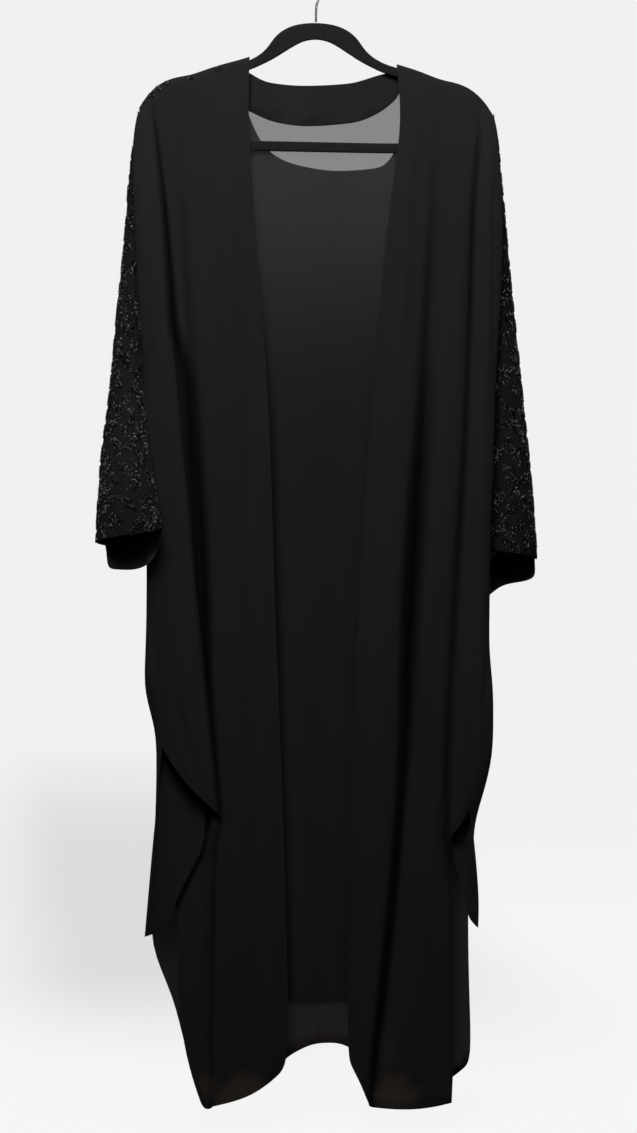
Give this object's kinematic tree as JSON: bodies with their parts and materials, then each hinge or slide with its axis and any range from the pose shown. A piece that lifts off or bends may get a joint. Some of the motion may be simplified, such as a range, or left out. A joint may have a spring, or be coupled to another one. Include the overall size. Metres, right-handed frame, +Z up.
{
  "type": "abaya cloak on a hanger",
  "caption": "Long open-front black abaya cloak with draped side wings and beaded sleeves, hanging flat on a slim velvet hanger with a wire hook.",
  "frame": {"origin": "inside top of the hanger's hook, where the rail carries it", "axes": "+Z up, +X to the right seen from the front, the front of the cloak faces -Y"},
  "size_m": [0.6155, 0.1292, 1.6036],
  "materials": {
    "georgette": "matte sheer crepe",
    "beaded_georgette": "crepe covered with small black beads",
    "satin": "smooth satin",
    "velvet": "flocked velvet over a rigid plastic core",
    "steel": "plated wire"
  },
  "bodies": {
    "root": {"hanger_frame": "velvet", "hanger_hook": "steel", "back_panel": "georgette", "back_underlayer": "georgette", "neck_facing": "georgette", "front_panel_left": "georgette", "front_panel_right": "georgette", "side_wing_left": "georgette", "side_wing_right": "georgette", "sleeve_left": "beaded_georgette", "sleeve_right": "beaded_georgette", "sleeve_lining_left": "satin", "sleeve_lining_right": "satin"}
  },
  "joints": []
}
